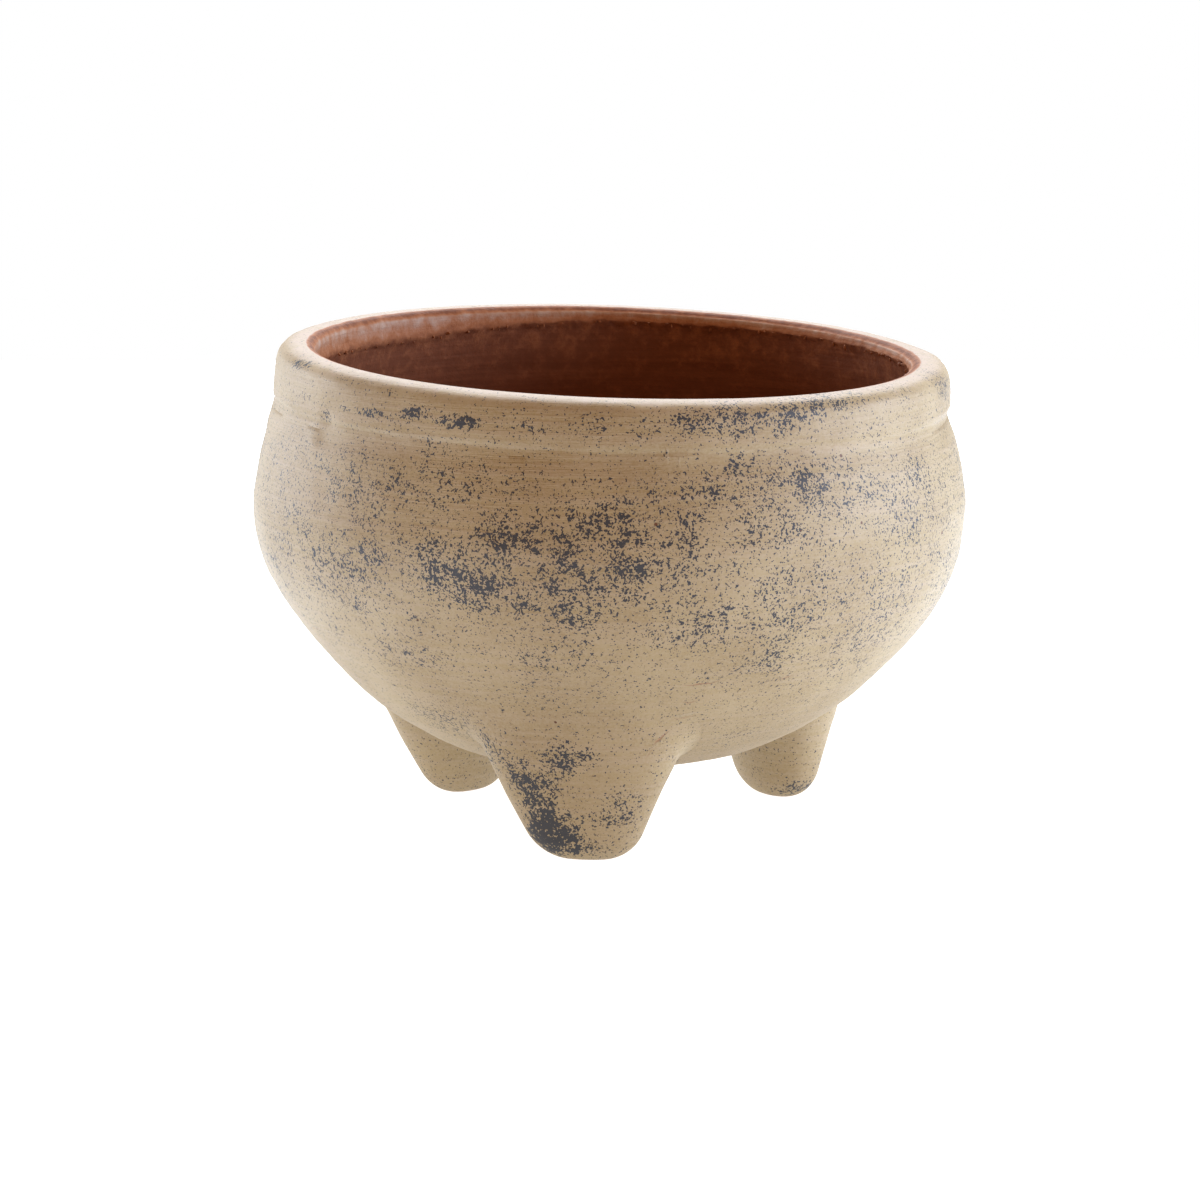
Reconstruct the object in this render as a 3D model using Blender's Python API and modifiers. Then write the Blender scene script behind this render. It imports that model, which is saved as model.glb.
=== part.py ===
"""Clay molcajete: a hand-built earthenware bowl on three lobed feet.

The potter makes it from separate pieces of clay: a lower bowl pressed in a mould, an upper wall built on its
bevelled edge, a thick rim coil pressed over the wall's rounded top, and three feet that are luted under the
bowl, each with a coil of soft clay smoothed into the corner around it.

Metres, +Z up. The origin is on the ground, under the middle of the bowl. +X is right and -Y is the front.
"""

import math

import bmesh
import bpy
from mathutils import Vector
from mathutils.geometry import interpolate_bezier

# Bowl
BELLY_RADIUS = 0.106
BELLY_HEIGHT = 0.093
UNDERSIDE_HEIGHT = 0.020  # from the ground to the middle of the bowl's underside
WALL = 0.009
BASE_THICKNESS = 0.0105

# Neck, where the upper wall ends and the rim coil sits
NECK_INSET = 0.0064  # how much smaller the neck's radius is than the belly's
WALL_RISE = 0.0305  # from the belly up to the neck
NECK_RADIUS = BELLY_RADIUS - NECK_INSET
NECK_HEIGHT = BELLY_HEIGHT + WALL_RISE

# Rim coil
RIM_BAND = 0.0169  # its height above the neck
RIM_PROUD = 0.0006  # how far its band stands out from the neck
LIP_THICKNESS = 0.0122
LIP_EDGE_RADIUS = 0.0018
LIP_SHOULDER_RADIUS = 0.0042
RIM_HEIGHT = NECK_HEIGHT + RIM_BAND
RIM_RADIUS = NECK_RADIUS + RIM_PROUD
MOUTH_RADIUS = RIM_RADIUS - LIP_THICKNESS

# The rim sits a little crooked, as it does on a bowl built by hand.
LEAN_RIGHT = 1.9  # degrees down to the right
LEAN_FRONT = 1.8  # degrees down to the front
RIM_SHIFT = 0.001  # to the right

# Joints between pieces of clay
SLIP_FILM = 0.0003  # the brushed-on slip that glues two pieces
SCARF_RISE = 0.006  # how far the bevel between lower bowl and upper wall climbs from outside to inside
COIL_SEAT_RISE = 0.0025  # how far the upper wall's rounded top reaches into the rim coil

# Feet. Half sizes are along the bowl's circumference. Times FOOT_FLATNESS they are those along its radius.
FOOT_HALF_SOLE = 0.0082
FOOT_TIP_RADIUS = 0.014
FOOT_TIP_SLOPE = 16  # degrees between the ground and the rounded tip where it leaves the flat sole
FOOT_FLATNESS = 0.58
FILLET_REACH = 0.0065  # along the foot and along the bowl
FILLET_EDGE = 0.0008  # thickness that is left at the edges of the smoothed coil
# Each foot's direction in degrees from +X, distance from the middle, and widening of its flanks with height.
FEET = {
    "front": (262.6, 0.0590, 0.48),
    "left": (140.7, 0.0585, 0.58),
    "right": (30.6, 0.0597, 0.36),
}

# Outline of the bowl's outside. Below the belly, shares of BELLY_RADIUS and of the rise from the underside.
LOWER_OUTLINE = ((0, 0), (0.24, 0.008), (0.45, 0.056), (0.67, 0.241), (0.863, 0.521), (0.966, 0.766), (1, 1))
# Above it, shares of the way in from the belly to the neck and of the rise between them.
UPPER_OUTLINE = ((0, 0), (0.17, 0.40), (0.62, 0.78), (1, 1))

# Fineness of the meshes
AROUND_BOWL = 60
AROUND_FOOT = 24
OUTLINE_STEPS = 2  # per stretch of an outline
ARC_STEPS = 4
MERGE = 0.00001

# Colour and roughness of each kind of piece
FINISHES = {
    "lower_bowl": ((0.50, 0.38, 0.24, 1.0), 0.9),
    "upper_wall": ((0.53, 0.41, 0.27, 1.0), 0.9),
    "rim_coil": ((0.62, 0.47, 0.36, 1.0), 0.85),
    "foot": ((0.46, 0.35, 0.22, 1.0), 0.9),
    "fillet": ((0.48, 0.37, 0.23, 1.0), 0.9),
}


def clear_scene():
    for obj in list(bpy.data.objects):
        bpy.data.objects.remove(obj)


def collection_for(name):
    collection = bpy.data.collections.new(name)
    bpy.context.scene.collection.children.link(collection)
    return collection


def finish(obj, kind):
    """Give the piece its own clay material."""
    colour, roughness = FINISHES[kind]
    material = bpy.data.materials.new(obj.name + "_clay")
    material.use_nodes = True
    shader = material.node_tree.nodes["Principled BSDF"]
    shader.inputs["Base Color"].default_value = colour
    shader.inputs["Roughness"].default_value = roughness
    shader.inputs["Metallic"].default_value = 0.0
    obj.data.materials.append(material)


def smooth_through(points, steps):
    """A smooth line through the points, with this many steps in each stretch."""
    points = [Vector(p) for p in points]
    run_on = [points[0] * 2 - points[1]] + points + [points[-1] * 2 - points[-2]]
    line = [points[0]]
    for before, start, end, after in zip(run_on, run_on[1:], run_on[2:], run_on[3:]):
        start_handle = start + (end - before) / 6
        end_handle = end - (after - start) / 6
        line += interpolate_bezier(start, start_handle, end_handle, end, steps + 1)[1:]
    return line


def arc(centre, radius, first_degrees, last_degrees, steps):
    turn = (last_degrees - first_degrees) / steps
    angles = [math.radians(first_degrees + turn * i) for i in range(steps + 1)]
    return [Vector((centre[0] + radius * math.cos(a), centre[1] + radius * math.sin(a))) for a in angles]


def moved_inwards(line, first_thickness, last_thickness):
    """A climbing line moved towards the bowl's inside, by a thickness that changes evenly along it."""
    moved = []
    for i, point in enumerate(line):
        along = line[min(i + 1, len(line) - 1)] - line[max(i - 1, 0)]
        thickness = first_thickness + (last_thickness - first_thickness) * i / (len(line) - 1)
        moved.append(point + Vector((-along.y, along.x)).normalized() * thickness)
    if line[0].x == 0:
        moved[0] = line[0] + Vector((0.0, first_thickness))
    return moved


def lower_outside():
    rise = BELLY_HEIGHT - UNDERSIDE_HEIGHT
    points = [(r * BELLY_RADIUS, UNDERSIDE_HEIGHT + h * rise) for r, h in LOWER_OUTLINE]
    return smooth_through(points, OUTLINE_STEPS)


def upper_outside():
    points = [(BELLY_RADIUS - r * NECK_INSET, BELLY_HEIGHT + h * WALL_RISE) for r, h in UPPER_OUTLINE]
    return smooth_through(points, OUTLINE_STEPS)


def height_at(line, radius):
    """Where a climbing outline is at this radius."""
    for low, high in zip(line, line[1:]):
        if radius <= high.x:
            share = (radius - low.x) / (high.x - low.x)
            return low.y + share * (high.y - low.y)
    return line[-1].y


def turned(name, section, closed, collection):
    """A section of (radius, height) points turned round the Z axis. It runs down its outer side."""
    mesh = bpy.data.meshes.new(name)
    edges = [(i, i + 1) for i in range(len(section) - 1)]
    if closed:
        edges.append((len(section) - 1, 0))
    mesh.from_pydata([(p.x, 0.0, p.y) for p in section], edges, [])
    obj = bpy.data.objects.new(name, mesh)
    collection.objects.link(obj)
    screw = obj.modifiers.new("turn", "SCREW")
    screw.axis = "Z"
    screw.steps = screw.render_steps = AROUND_BOWL
    screw.use_merge_vertices = True
    screw.merge_threshold = MERGE
    screw.use_smooth_shade = True
    return obj


def lean_lattice(collection):
    """Two layers. The lower one, at the belly, stays level, and the upper one, at the rim, tilts."""
    data = bpy.data.lattices.new("hand_lean")
    data.points_u = data.points_v = data.points_w = 2
    data.interpolation_type_u = data.interpolation_type_v = data.interpolation_type_w = "KEY_LINEAR"
    lattice = bpy.data.objects.new("hand_lean", data)
    height = RIM_HEIGHT - BELLY_HEIGHT
    width = 2 * BELLY_RADIUS
    lattice.location = (0.0, 0.0, BELLY_HEIGHT + height / 2)
    lattice.scale = (width, width, height)
    lattice.hide_render = True
    collection.objects.link(lattice)
    down_right = math.tan(math.radians(LEAN_RIGHT))
    down_front = math.tan(math.radians(LEAN_FRONT))
    for point in data.points:
        if point.co.z > 0:
            drop = point.co.x * width * down_right - point.co.y * width * down_front
            point.co_deform.z = point.co.z - drop / height
            point.co_deform.x = point.co.x + RIM_SHIFT / width
    return lattice


def lean(obj, lattice):
    obj.modifiers.new("lean", "LATTICE").object = lattice


def make_lower_bowl(collection):
    """The pressed shell. Its top edge is a bevel that climbs from the belly line to the inside."""
    outside = lower_outside()
    inside = moved_inwards(outside, BASE_THICKNESS, WALL)
    scarf_top = Vector((BELLY_RADIUS - WALL, BELLY_HEIGHT + SCARF_RISE))
    return turned("lower_bowl", inside + [scarf_top] + outside[::-1], False, collection)


def make_upper_wall(collection):
    """The built wall. Its foot follows the lower bowl's bevel, and its top is rounded for the rim coil."""
    outside = upper_outside()
    outside[0] += Vector((0.0, SLIP_FILM))
    scarf_top = Vector((BELLY_RADIUS - WALL, BELLY_HEIGHT + SCARF_RISE + SLIP_FILM))
    inside = [p for p in moved_inwards(upper_outside(), WALL, WALL) if p.y > scarf_top.y]
    rounded_top = wall_top()[1:-1]
    return turned("upper_wall", [scarf_top] + inside + rounded_top + outside[::-1], True, collection)


def wall_top():
    """The rounded top of the upper wall, from its inner to its outer edge."""
    outside = upper_outside()
    inner_edge = moved_inwards(outside, WALL, WALL)[-1]
    outer_edge = outside[-1]
    crown = (inner_edge + outer_edge) / 2 + Vector((0.0, COIL_SEAT_RISE))
    return smooth_through([inner_edge, crown, outer_edge], 3)


def make_rim_coil(collection):
    """The rolled coil, hollowed underneath to the wall's top, with a plain band outside and a soft lip."""
    seat = [p + Vector((0.0, SLIP_FILM)) for p in wall_top()]
    bore = [seat[0], Vector((MOUTH_RADIUS + (seat[0].x - MOUTH_RADIUS) / 4, NECK_HEIGHT + RIM_BAND / 2))]
    lip_edge = (MOUTH_RADIUS + LIP_EDGE_RADIUS, RIM_HEIGHT - LIP_EDGE_RADIUS)
    shoulder = (RIM_RADIUS - LIP_SHOULDER_RADIUS, RIM_HEIGHT - LIP_SHOULDER_RADIUS)
    lip = arc(lip_edge, LIP_EDGE_RADIUS, 180, 90, 2) + arc(shoulder, LIP_SHOULDER_RADIUS, 90, 0, ARC_STEPS)
    band_foot = Vector((RIM_RADIUS, NECK_HEIGHT + RIM_BAND / 3))
    return turned("rim_coil", bore + lip + [band_foot] + seat[:0:-1], True, collection)


def foot_turns():
    return [2 * math.pi * i / AROUND_FOOT for i in range(AROUND_FOOT)]


def foot_outline(flare):
    """Half the foot's width against height: a rounded tip, up to the start of the straight flank over it."""
    slope = math.radians(FOOT_TIP_SLOPE)
    centre = (FOOT_HALF_SOLE - FOOT_TIP_RADIUS * math.sin(slope), FOOT_TIP_RADIUS * math.cos(slope))
    flank_degrees = -math.degrees(math.atan(flare))
    return arc(centre, FOOT_TIP_RADIUS, FOOT_TIP_SLOPE - 90, flank_degrees, ARC_STEPS)


def foot_point(foot, turn, half_width, height, spread=0.0):
    """A point on the foot, this way round it, moved out from its surface by spread."""
    direction, reach, _ = foot
    outward = Vector((math.cos(math.radians(direction)), math.sin(math.radians(direction)), 0.0))
    sideways = Vector((-outward.y, outward.x, 0.0))
    deep = (half_width * FOOT_FLATNESS + spread) * math.cos(turn)
    across = (half_width + spread) * math.sin(turn)
    return outward * (reach + deep) + sideways * across + Vector((0.0, 0.0, height))


def flank_point(foot, turn, height, spread=0.0):
    flare = foot[2]
    start = foot_outline(flare)[-1]
    return foot_point(foot, turn, start.x + (height - start.y) * flare, height, spread)


def underside_at(point):
    return height_at(lower_outside(), math.hypot(point.x, point.y))


def seat_ring(foot, spread=0.0):
    """The ring where the foot's flank, moved out by spread, meets the bowl."""
    ring = []
    for turn in foot_turns():
        low = 0.0
        high = BELLY_HEIGHT
        for _ in range(20):
            height = (low + high) / 2
            if height < underside_at(flank_point(foot, turn, height, spread)):
                low = height
            else:
                high = height
        ring.append(flank_point(foot, turn, low, spread))
    return ring


def foot_rings(foot, spread=0.0):
    """Rings from the sole to a level that is inside the bowl all the way round."""
    rings = []
    for half_width, height in foot_outline(foot[2]):
        rings.append([foot_point(foot, turn, half_width, height, spread) for turn in foot_turns()])
    top = max(point.z for point in seat_ring(foot, spread)) + WALL / 2
    rings.append([flank_point(foot, turn, top, spread) for turn in foot_turns()])
    return rings


def lofted(name, rings, collection):
    """A closed skin over rings of equal count."""
    build = bmesh.new()
    rows = [[build.verts.new(point) for point in ring] for ring in rings]
    for low, high in zip(rows, rows[1:]):
        for i in range(len(low)):
            build.faces.new((low[i - 1], low[i], high[i], high[i - 1]))
    build.faces.new(rows[0][::-1])
    build.faces.new(rows[-1])
    mesh = bpy.data.meshes.new(name)
    build.to_mesh(mesh)
    build.free()
    mesh.shade_smooth()
    mesh.set_sharp_from_angle(angle=math.radians(40))
    obj = bpy.data.objects.new(name, mesh)
    collection.objects.link(obj)
    return obj


def as_cutter(obj):
    obj.hide_render = True
    obj.display_type = "WIRE"
    return obj


def cut(obj, cutter):
    modifier = obj.modifiers.new(cutter.name, "BOOLEAN")
    modifier.operation = "DIFFERENCE"
    modifier.object = cutter


def make_bowl_cutter(collection):
    """The lower bowl's outside with its film of slip, as one solid that goes straight up from the belly."""
    skin = moved_inwards(lower_outside(), -SLIP_FILM, -SLIP_FILM)
    top = [Vector((0.0, RIM_HEIGHT)), Vector((skin[-1].x, RIM_HEIGHT))]
    return as_cutter(turned("bowl_cutter", top + skin[::-1], False, collection))


def make_foot(name, foot, bowl_cutter, collection):
    """A lobe of clay with a small flat sole. Its top is hollowed to sit on the bowl's underside."""
    obj = lofted(name + "_foot", foot_rings(foot), collection)
    cut(obj, bowl_cutter)
    return obj


def fillet_rings(foot):
    """Rings over the coil's hollow face, from the foot's flank to the bowl, and a last one inside the bowl."""
    edge = SLIP_FILM + FILLET_EDGE
    lines = []
    for turn, seat in zip(foot_turns(), seat_ring(foot)):
        outward = (flank_point(foot, turn, seat.z, 1.0) - seat).normalized()
        low = flank_point(foot, turn, seat.z - FILLET_REACH, edge)
        corner = seat + outward * edge - Vector((0.0, 0.0, edge))
        # The bowl's slope this way shortens the step, so that the coil is as wide on steep ground as on flat.
        slope = (underside_at(seat + outward * FILLET_REACH / 2) - underside_at(seat)) * 2 / FILLET_REACH
        far = seat + outward * FILLET_REACH / math.hypot(1.0, slope)
        far.z = underside_at(far) - edge
        face = interpolate_bezier(low, low.lerp(corner, 2 / 3), far.lerp(corner, 2 / 3), far, ARC_STEPS + 1)
        lines.append(face + [far + Vector((0.0, 0.0, WALL / 2))])
    return list(zip(*lines))


def make_fillet(name, foot, bowl_cutter, collection, cutters):
    """A coil of soft clay smoothed into the corner between a foot and the bowl, with a hollow face."""
    obj = lofted(name + "_foot_fillet", fillet_rings(foot), collection)
    cut(obj, as_cutter(lofted(name + "_foot_cutter", foot_rings(foot, SLIP_FILM), cutters)))
    cut(obj, bowl_cutter)
    return obj


def main():
    clear_scene()
    parts = collection_for("molcajete")
    cutters = collection_for("cutters")
    lattice = lean_lattice(cutters)
    for make in (make_lower_bowl, make_upper_wall, make_rim_coil):
        piece = make(parts)
        lean(piece, lattice)
        finish(piece, piece.name)
    bowl_cutter = make_bowl_cutter(cutters)
    for name, foot in FEET.items():
        finish(make_foot(name, foot, bowl_cutter, parts), "foot")
        finish(make_fillet(name, foot, bowl_cutter, parts, cutters), "fillet")


main()
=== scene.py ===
import math
import random

import bmesh
import bpy
import numpy as np
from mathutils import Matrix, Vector
from mathutils.geometry import interpolate_bezier


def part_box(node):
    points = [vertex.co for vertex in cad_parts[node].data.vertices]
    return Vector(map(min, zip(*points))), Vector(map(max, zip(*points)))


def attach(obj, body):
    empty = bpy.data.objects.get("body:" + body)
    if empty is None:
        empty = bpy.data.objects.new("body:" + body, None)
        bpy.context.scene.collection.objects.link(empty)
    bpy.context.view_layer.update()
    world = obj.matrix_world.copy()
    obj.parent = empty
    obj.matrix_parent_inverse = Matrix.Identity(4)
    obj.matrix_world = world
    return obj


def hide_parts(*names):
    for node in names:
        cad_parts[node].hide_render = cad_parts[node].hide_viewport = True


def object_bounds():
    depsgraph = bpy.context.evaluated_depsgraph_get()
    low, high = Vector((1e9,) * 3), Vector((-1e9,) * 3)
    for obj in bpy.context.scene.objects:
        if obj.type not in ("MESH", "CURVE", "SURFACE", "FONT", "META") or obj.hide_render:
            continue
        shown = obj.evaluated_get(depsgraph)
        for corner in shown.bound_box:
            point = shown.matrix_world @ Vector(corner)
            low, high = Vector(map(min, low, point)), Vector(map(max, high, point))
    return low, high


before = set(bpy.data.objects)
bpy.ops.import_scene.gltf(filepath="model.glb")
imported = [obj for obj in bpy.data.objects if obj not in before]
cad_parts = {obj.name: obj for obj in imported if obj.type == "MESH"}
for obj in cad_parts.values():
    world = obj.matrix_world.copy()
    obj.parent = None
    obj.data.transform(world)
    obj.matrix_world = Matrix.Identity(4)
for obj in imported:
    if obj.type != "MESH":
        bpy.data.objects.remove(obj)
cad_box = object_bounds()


# ---- Lower bowl ----------------------------------------------------------------------------------
# A shell of red clay pressed in a mould, from the underside up to the belly, where its bevelled edge
# takes the upper wall. Bare and wiped inside, coated with cream slip outside.

MM = 0.001
BELLY_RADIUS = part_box("lower_bowl")[1].x
BELLY_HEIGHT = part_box("upper_wall")[0].z
WALL = 9.0 * MM
BASE_THICKNESS = 10.5 * MM
SCARF_RISE = 6.0 * MM
MESH_STEP = 1.5 * MM  # between the mesh's rows
AROUND_BOWL = 480  # columns of the mesh

# The bowl's outside from the middle of the underside to the neck, in millimetres: distance from the
# axis and height.
OUTSIDE = ((0, 20), (25.4, 20.6), (47.7, 24.1), (71, 37.6), (91.4, 58.3), (102.4, 76.2), (106, 93),
           (105.1, 104.4), (102.6, 115.6), (100.5, 121.6), (100.05, 123.5))
BELLY_POINT = 6  # where the lower bowl ends and the upper wall starts
BAND_RADIUS = 100.4
BAND_FOOT = 124  # the rim band's lower edge
BODY_CENTRE = Vector((0.0, 0.0, 108 * MM))


BEZIER_STEPS = 40


def smooth_line(points, spacing, first=0, last=None):
    """Points this far apart on a smooth line through the given ones, from the first to the last."""
    points = [Vector(p) for p in points]
    run_on = [points[0] * 2 - points[1]] + points + [points[-1] * 2 - points[-2]]
    fine = []
    for i in range(first, last or len(points) - 1):
        before, start, end, after = run_on[i:i + 4]
        start_handle = start + (end - before) / 6
        end_handle = end - (after - start) / 6
        fine += interpolate_bezier(start, start_handle, end_handle, end, BEZIER_STEPS)[:-1]
    fine.append(end)
    lengths = [0.0]
    for a, b in zip(fine, fine[1:]):
        lengths.append(lengths[-1] + (b - a).length)
    count = max(1, round(lengths[-1] / spacing))
    line = []
    at = 0
    for i in range(count + 1):
        wanted = lengths[-1] * i / count
        while at < len(fine) - 2 and lengths[at + 1] < wanted:
            at += 1
        share = (wanted - lengths[at]) / (lengths[at + 1] - lengths[at])
        line.append(fine[at].lerp(fine[at + 1], min(share, 1.0)))
    return line


def moved_inwards(line, first_thickness, last_thickness):
    """A climbing line moved towards the bowl's inside."""
    moved = []
    for i, point in enumerate(line):
        along = line[min(i + 1, len(line) - 1)] - line[max(i - 1, 0)]
        thickness = first_thickness + (last_thickness - first_thickness) * i / (len(line) - 1)
        moved.append(point + Vector((-along.y, along.x)).normalized() * thickness)
    if line[0].x == 0:
        moved[0] = line[0] + Vector((0.0, first_thickness))
    return moved


outline = [Vector(p) * MM for p in OUTSIDE]
lower_outside = smooth_line(outline, MESH_STEP, 0, BELLY_POINT)
upper_outside = smooth_line(outline, MESH_STEP, BELLY_POINT)
lower_inside = moved_inwards(lower_outside, BASE_THICKNESS, WALL)
upper_inside = moved_inwards(upper_outside, WALL, WALL)


def facing(degrees):
    """The level direction at this many degrees from +X."""
    return Vector((math.cos(math.radians(degrees)), math.sin(math.radians(degrees)), 0.0))


def on_bowl(degrees, height):
    """A place on the bowl's outside, this way from +X and this many millimetres up."""
    radius = BAND_RADIUS * MM
    if height < BAND_FOOT:
        radius = min(lower_outside + upper_outside, key=lambda p: abs(p.y - height * MM)).x
    turn = math.radians(degrees)
    return Vector((radius * math.cos(turn), radius * math.sin(turn), height * MM))


def feed(tree, socket, value):
    if isinstance(value, bpy.types.NodeSocket):
        tree.links.new(value, socket)
    else:
        socket.default_value = value


def add(tree, kind, values=None, **settings):
    """A new node. values gives its inputs by name or number: a socket to join, or a plain value."""
    node = tree.nodes.new(kind)
    for name, value in settings.items():
        setattr(node, name, value)
    for name, value in (values or {}).items():
        feed(tree, node.inputs[name], value)
    return node


def maths(tree, operation, *values):
    return add(tree, "ShaderNodeMath", dict(enumerate(values)), operation=operation).outputs[0]


def vectors(tree, operation, *values):
    node = add(tree, "ShaderNodeVectorMath", operation=operation)
    for socket, value in zip(node.inputs, values):
        feed(tree, socket, value)
    return node.outputs["Value" if operation in ("LENGTH", "DISTANCE", "DOT_PRODUCT") else "Vector"]


def xyz(tree, x=0.0, y=0.0, z=0.0):
    return add(tree, "ShaderNodeCombineXYZ", {0: x, 1: y, 2: z}).outputs[0]


def split(tree, vector):
    return add(tree, "ShaderNodeSeparateXYZ", {0: vector}).outputs


def position(tree):
    return add(tree, "GeometryNodeInputPosition").outputs[0]


def carried(tree, name):
    """A value that the points carry under this name."""
    node = add(tree, "GeometryNodeInputNamedAttribute", {"Name": name}, data_type="FLOAT")
    return node.outputs["Attribute"]


def ramp(tree, value, low, high, to_low=0.0, to_high=1.0):
    """Goes smoothly from to_low to to_high as value goes from low to high."""
    node = add(tree, "ShaderNodeMapRange", {0: value, 1: low, 2: high, 3: to_low, 4: to_high})
    node.interpolation_type = "SMOOTHSTEP"
    return node.outputs[0]


def noise(tree, place, scale, detail=1.0, stretch=(1, 1, 1), shift=(0, 0, 0), roughness=0.5):
    """Noise about 0.5. More stretch along an axis makes the pattern finer that way."""
    moved = vectors(tree, "MULTIPLY_ADD", place, stretch, shift)
    node = add(tree, "ShaderNodeTexNoise",
               {"Vector": moved, "Scale": scale, "Detail": detail, "Roughness": roughness})
    return node.outputs[0]


def new_tree(name, kind, inputs, outputs):
    """A node tree with these sockets, each given as (name, type, default)."""
    tree = bpy.data.node_groups.new(name, kind)
    for direction, sockets in (("INPUT", inputs), ("OUTPUT", outputs)):
        for socket_name, socket_type, default in sockets:
            socket = tree.interface.new_socket(socket_name, in_out=direction,
                                               socket_type="NodeSocket" + socket_type)
            if default is not None:
                socket.default_value = default
    return tree, tree.nodes.new("NodeGroupInput").outputs, tree.nodes.new("NodeGroupOutput").inputs


# The potter's hand in the clay. The rim leans, the body is a little out of true, and the surface
# carries broad dents and the level marks of the smoothing rib. All of it depends on place alone, so
# that neighbouring pieces stay flush with each other.
HAND = (
    ("Geometry", "Geometry", None),
    ("Lean Right", "Float", math.tan(math.radians(1.9))),
    ("Lean Front", "Float", math.tan(math.radians(2.1))),
    ("Rim Shift", "Float", 1.3 * MM),
    ("Body Drift", "Float", 1.3 * MM),
    ("Dents", "Float", 1.5 * MM),
    ("Lumps", "Float", 0.55 * MM),
    ("Rib Marks", "Float", 0.42 * MM),
    ("Torn Edge", "Float", 2.4 * MM),
    ("Ledge Rise", "Float", 0.62),
)
RIM_HEIGHT = BELLY_HEIGHT + 47.1 * MM
# Where a thumb pressed in, or left the clay proud: direction, height, half width, half height and
# depth, in degrees and millimetres.
PRESSED = (
    (350, 124.5, 26, 4, 0.8), (188, 122, 24, 7, -0.9), (216, 127, 5, 4, 0.6), (212, 121, 6, 6, -0.4),
    (236, 125, 10, 3, -0.35), (262, 127.5, 16, 3, 0.3), (281, 124.5, 9, 3, -0.45), (299, 126, 14, 3, 0.3),
    (225, 70, 20, 12, 0.5), (292, 56, 18, 6, 0.5), (25, 100, 24, 18, 0.7), (70, 126, 18, 4, 0.7),
    (110, 122, 16, 5, -0.5), (150, 128, 14, 5, 0.6),
)

hand_worked, given, result = new_tree("hand_worked", "GeometryNodeTree", HAND, HAND[:1])
tree = hand_worked
place = position(tree)
x, y, z = split(tree, place)

# Dents, lumps and marks, along the way out of the body. They fade out towards the soles.
broad = noise(tree, place, 21.0, 1.0, shift=(0.31, 0.12, 0.0))
marks = noise(tree, place, 1.0, 2.0, stretch=(17, 17, 150), shift=(3.0, 1.0, 0.0))
lumps = noise(tree, place, 95.0, 2.0, stretch=(1, 1, 1.8), shift=(7, 3, 5))
push = 0.0
for pattern, size in ((broad, "Dents"), (marks, "Rib Marks"), (lumps, "Lumps")):
    pattern = maths(tree, "SUBTRACT", pattern, 0.5)
    push = maths(tree, "ADD", push, maths(tree, "MULTIPLY", pattern, given[size]))
for degrees, height, wide, high, depth in PRESSED:
    away = vectors(tree, "DIVIDE", vectors(tree, "SUBTRACT", place, on_bowl(degrees, height)),
                   (wide * MM, wide * MM, high * MM))
    dent = ramp(tree, vectors(tree, "LENGTH", away), 1.0, 0.0, 0.0, -depth * MM)
    push = maths(tree, "ADD", push, dent)
push = maths(tree, "MULTIPLY", push, ramp(tree, z, 5 * MM, 30 * MM))
torn = noise(tree, place, 330.0, 3.0, stretch=(1, 1, 1.6), roughness=0.65)
torn = maths(tree, "MULTIPLY", maths(tree, "SUBTRACT", torn, 0.45), given["Torn Edge"])
push = maths(tree, "SUBTRACT", push, maths(tree, "MULTIPLY", torn, carried(tree, "burr")))
outward = vectors(tree, "NORMALIZE", vectors(tree, "SUBTRACT", place, BODY_CENTRE))
pushed = add(tree, "ShaderNodeVectorMath", {0: outward, "Scale": push}, operation="SCALE").outputs[0]

# The lean of the rim, which grows from the belly up, and the drift of the rim and the low body.
rise = maths(tree, "DIVIDE", maths(tree, "SUBTRACT", z, BELLY_HEIGHT), RIM_HEIGHT - BELLY_HEIGHT)
rise = maths(tree, "MAXIMUM", rise, 0.0)
drop = maths(tree, "SUBTRACT", maths(tree, "MULTIPLY", x, given["Lean Right"]),
             maths(tree, "MULTIPLY", y, given["Lean Front"]))
drop = maths(tree, "MULTIPLY", maths(tree, "MULTIPLY", drop, rise), -1.0)
low_body = maths(tree, "MULTIPLY", ramp(tree, z, 32 * MM, 56 * MM), ramp(tree, z, 92 * MM, 62 * MM))
aside = maths(tree, "ADD", maths(tree, "MULTIPLY", rise, given["Rim Shift"]),
              maths(tree, "MULTIPLY", low_body, given["Body Drift"]))
lean = xyz(tree, x=aside, z=drop)

# The torn inner edge of the rim, which runs nearer to the lip on the bowl's right and back.
INNER_LIP_TOP = 139.6 * MM
INNER_WALL_TOP = 126 * MM
NEAREST_LIP = facing(40)
level = vectors(tree, "MULTIPLY", place, (1, 1, 0))
inside = ramp(tree, vectors(tree, "LENGTH", level), 91.0 * MM, 90.5 * MM)
sideways = vectors(tree, "DOT_PRODUCT", vectors(tree, "NORMALIZE", level), NEAREST_LIP)
tent = maths(tree, "MINIMUM", maths(tree, "SUBTRACT", INNER_LIP_TOP, z),
             maths(tree, "SUBTRACT", z, INNER_WALL_TOP))
tent = maths(tree, "MULTIPLY", maths(tree, "MAXIMUM", tent, 0.0), inside)
share = maths(tree, "MULTIPLY", ramp(tree, sideways, -0.2, 0.7), given["Ledge Rise"])
lean = vectors(tree, "ADD", lean, xyz(tree, z=maths(tree, "MULTIPLY", tent, share)))
moved = add(tree, "GeometryNodeSetPosition",
            {"Geometry": given["Geometry"], "Offset": vectors(tree, "ADD", lean, pushed)})
feed(tree, result[0], moved.outputs[0])

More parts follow.
